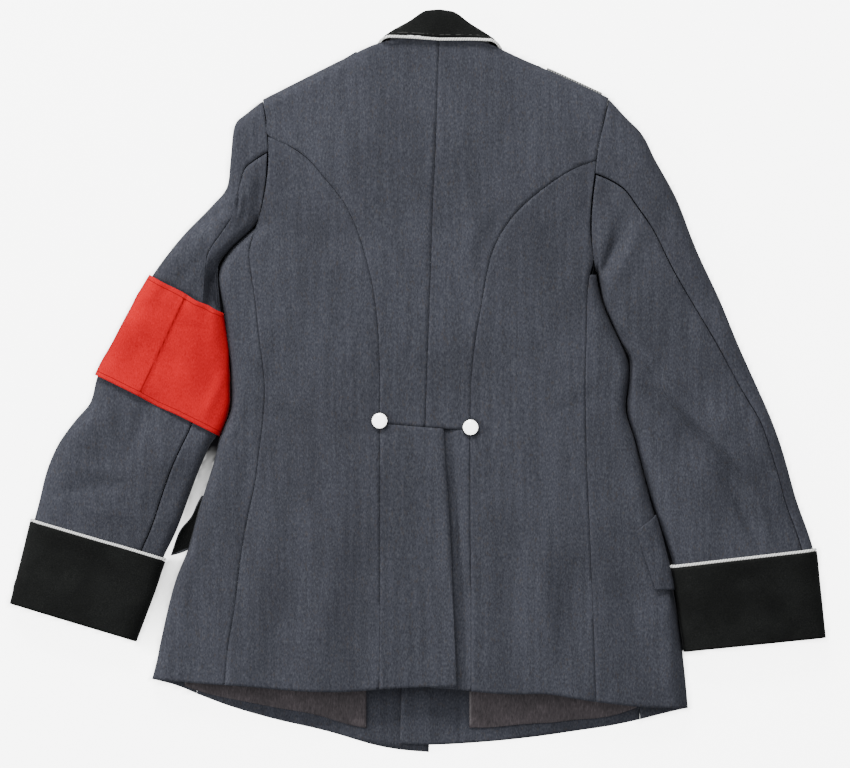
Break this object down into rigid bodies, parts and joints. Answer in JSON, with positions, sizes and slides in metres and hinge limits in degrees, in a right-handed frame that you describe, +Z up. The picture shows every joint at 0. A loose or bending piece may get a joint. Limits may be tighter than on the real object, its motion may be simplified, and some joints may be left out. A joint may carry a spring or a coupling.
{
  "type": "officer dress tunic",
  "caption": "Long-sleeved dress tunic in heathered blue-grey wool, laid flat with its back uppermost: black collar and cuffs with white cord, plain red armband, vented back.",
  "frame": {"origin": "middle of the laid garment's outline, on the surface that it lies on", "axes": "+X across the garment to the picture's right (from one cuff to the other), +Y towards the collar, +Z up, away from the surface"},
  "size_m": [0.9472, 0.8612, 0.0353],
  "materials": {
    "wool": "matte heathered wool",
    "black_wool": "matte smooth wool",
    "red_cotton": "matte plain weave",
    "lining": "soft sheen twill",
    "silver_cord": "twisted pale silver cord",
    "button_metal": "satin silver"
  },
  "bodies": {
    "root": {"back_left": "wool", "back_right": "wool", "skirt_left": "wool", "skirt_right": "wool", "side_back_left": "wool", "side_back_right": "wool", "side_left": "wool", "side_right": "wool", "front_left": "wool", "front_right": "wool", "sleeve_upper_left": "wool", "sleeve_under_left": "wool", "sleeve_upper_right": "wool", "sleeve_under_right": "wool", "flap_left": "wool", "flap_right": "wool", "collar": "black_wool", "cuff_left": "black_wool", "cuff_right": "black_wool", "armband": "red_cotton", "lining_left": "lining", "lining_right": "lining", "collar_piping": "silver_cord", "cuff_cord_left": "silver_cord", "cuff_cord_right": "silver_cord", "shoulder_board": "silver_cord", "waist_button_left": "button_metal", "waist_button_right": "button_metal", "front_button_1": "button_metal", "front_button_2": "button_metal", "front_button_3": "button_metal", "front_button_4": "button_metal", "shoulder_button": "button_metal"}
  },
  "joints": []
}
